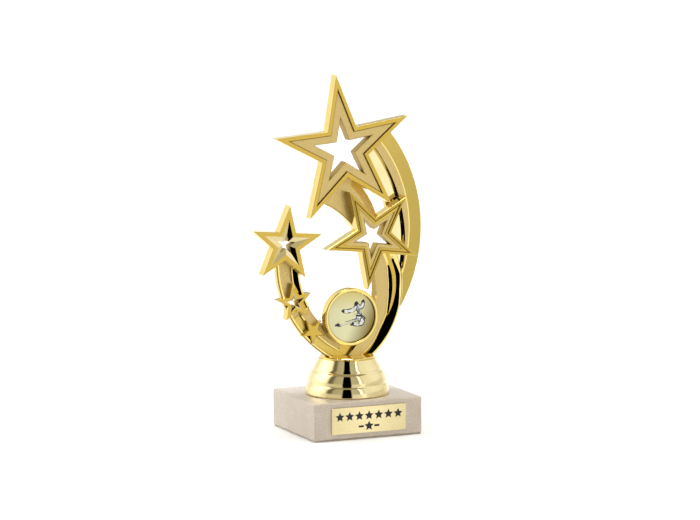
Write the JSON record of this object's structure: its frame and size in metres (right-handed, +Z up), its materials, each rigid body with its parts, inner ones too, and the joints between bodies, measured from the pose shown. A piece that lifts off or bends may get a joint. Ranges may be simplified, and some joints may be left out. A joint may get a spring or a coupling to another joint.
{
  "type": "star trophy",
  "caption": "Gold star trophy: open stars on curved ribbons over a stepped riser and a marble block, with a round emblem and a blank-style plate.",
  "frame": {"origin": "centre of the felt's underside, on the axis of the fixing screw", "axes": "+Z up through the screw and the riser, -Y out of the name plate, +X to the viewer's right"},
  "size_m": [0.0955, 0.0528, 0.1806],
  "materials": {
    "gold_figure": "vacuum metallised gold, polished rims and sand-grained bands",
    "gold_riser": "vacuum metallised gold, mirror polished",
    "marble": "polished beige marble with fine speckles",
    "felt": "short pressed felt",
    "plate": "gold anodised, satin",
    "steel": "zinc plated",
    "foam": "white double-sided foam tape",
    "emblem": "satin metallised foil under a printed pictogram"
  },
  "bodies": {
    "root": {"felt_sheet": "felt", "marble_base": "marble", "plate_adhesive": "foam", "name_plate": "plate", "riser": "gold_riser", "figure_foot": "gold_figure", "hex_nut": "steel", "washer": "steel", "fixing_screw": "steel", "left_ribbon": "gold_figure", "right_ribbon": "gold_figure", "upper_ribbon": "gold_figure", "outer_crescent": "gold_figure", "big_star": "gold_figure", "middle_star": "gold_figure", "small_star": "gold_figure", "tiny_star": "gold_figure", "relief_star": "gold_figure", "emblem_cup": "gold_figure", "emblem_adhesive": "foam", "emblem_disc": "emblem"}
  },
  "joints": []
}
